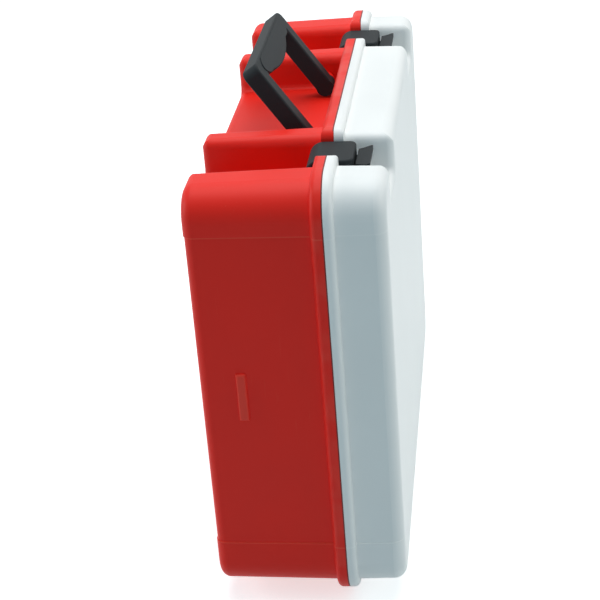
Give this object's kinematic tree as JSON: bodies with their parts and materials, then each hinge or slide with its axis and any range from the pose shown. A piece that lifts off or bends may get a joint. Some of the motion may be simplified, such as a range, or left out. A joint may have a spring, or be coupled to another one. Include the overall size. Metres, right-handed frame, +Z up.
{
  "type": "first aid box",
  "caption": "Rigid two-part first aid case with a hinged lid, snap latches, a folding handle and divided inside.",
  "frame": {"origin": "under the middle of the box, on the surface that its hinges and feet stand on", "axes": "+X along the width to the right seen from the lid, +Y from the lid's front to the base's back, +Z up towards the handle"},
  "size_m": [0.4, 0.1264, 0.3383],
  "materials": {
    "red_abs": "fine matte moulded ABS",
    "white_abs": "fine matte moulded ABS",
    "dark_grey_plastic": "satin moulded polyamide",
    "steel": "bright drawn wire",
    "divider_plastic": "grey extruded sheet",
    "clear_plastic": "clear polycarbonate sheet",
    "knob_plastic": "satin moulded ABS",
    "seal_rubber": "soft extruded rubber"
  },
  "bodies": {
    "base": {"base_shell": "red_abs", "shelf_divider": "divider_plastic", "upright_divider_left": "divider_plastic", "upright_divider_middle": "divider_plastic", "upright_divider_right": "divider_plastic", "hinge_pin_left": "steel", "hinge_pin_right": "steel", "handle_pin_left": "steel", "handle_pin_right": "steel", "latch_pin_left": "steel", "latch_pin_right": "steel"},
    "lid": {"lid_shell": "white_abs", "lid_seal": "seal_rubber", "lid_window": "clear_plastic", "knob_screws": "steel"},
    "handle": {"handle": "dark_grey_plastic"},
    "latch_left": {"latch_left": "dark_grey_plastic"},
    "latch_right": {"latch_right": "dark_grey_plastic"},
    "window_knob_lower_left": {"window_knob_lower_left": "knob_plastic"},
    "window_knob_lower_right": {"window_knob_lower_right": "knob_plastic"},
    "window_knob_upper_left": {"window_knob_upper_left": "knob_plastic"},
    "window_knob_upper_right": {"window_knob_upper_right": "knob_plastic"}
  },
  "joints": [
    {"name": "lid_hinge", "type": "hinge", "parent": "base", "child": "lid", "pos_m": [0, -0.025, 0.004], "axis": [1, 0, 0], "range_deg": [0, 90]},
    {"name": "handle_fold", "type": "hinge", "parent": "base", "child": "handle", "pos_m": [0, -0.00405, 0.2825], "axis": [1, 0, 0], "range_deg": [-55, 35]},
    {"name": "latch_left_swing", "type": "hinge", "parent": "base", "child": "latch_left", "pos_m": [-0.125, -0.01335, 0.2885], "axis": [-1, 0, 0], "range_deg": [0, 100]},
    {"name": "latch_right_swing", "type": "hinge", "parent": "base", "child": "latch_right", "pos_m": [0.125, -0.01335, 0.2885], "axis": [-1, 0, 0], "range_deg": [0, 100]},
    {"name": "window_knob_lower_left_turn", "type": "hinge", "parent": "lid", "child": "window_knob_lower_left", "pos_m": [-0.168, -0.03815, 0.039], "axis": [0, 1, 0], "range_deg": [0, 90]},
    {"name": "window_knob_lower_right_turn", "type": "hinge", "parent": "lid", "child": "window_knob_lower_right", "pos_m": [0.168, -0.03815, 0.039], "axis": [0, 1, 0], "range_deg": [0, 90]},
    {"name": "window_knob_upper_left_turn", "type": "hinge", "parent": "lid", "child": "window_knob_upper_left", "pos_m": [-0.168, -0.03815, 0.247], "axis": [0, 1, 0], "range_deg": [0, 90]},
    {"name": "window_knob_upper_right_turn", "type": "hinge", "parent": "lid", "child": "window_knob_upper_right", "pos_m": [0.168, -0.03815, 0.247], "axis": [0, 1, 0], "range_deg": [0, 90]}
  ]
}
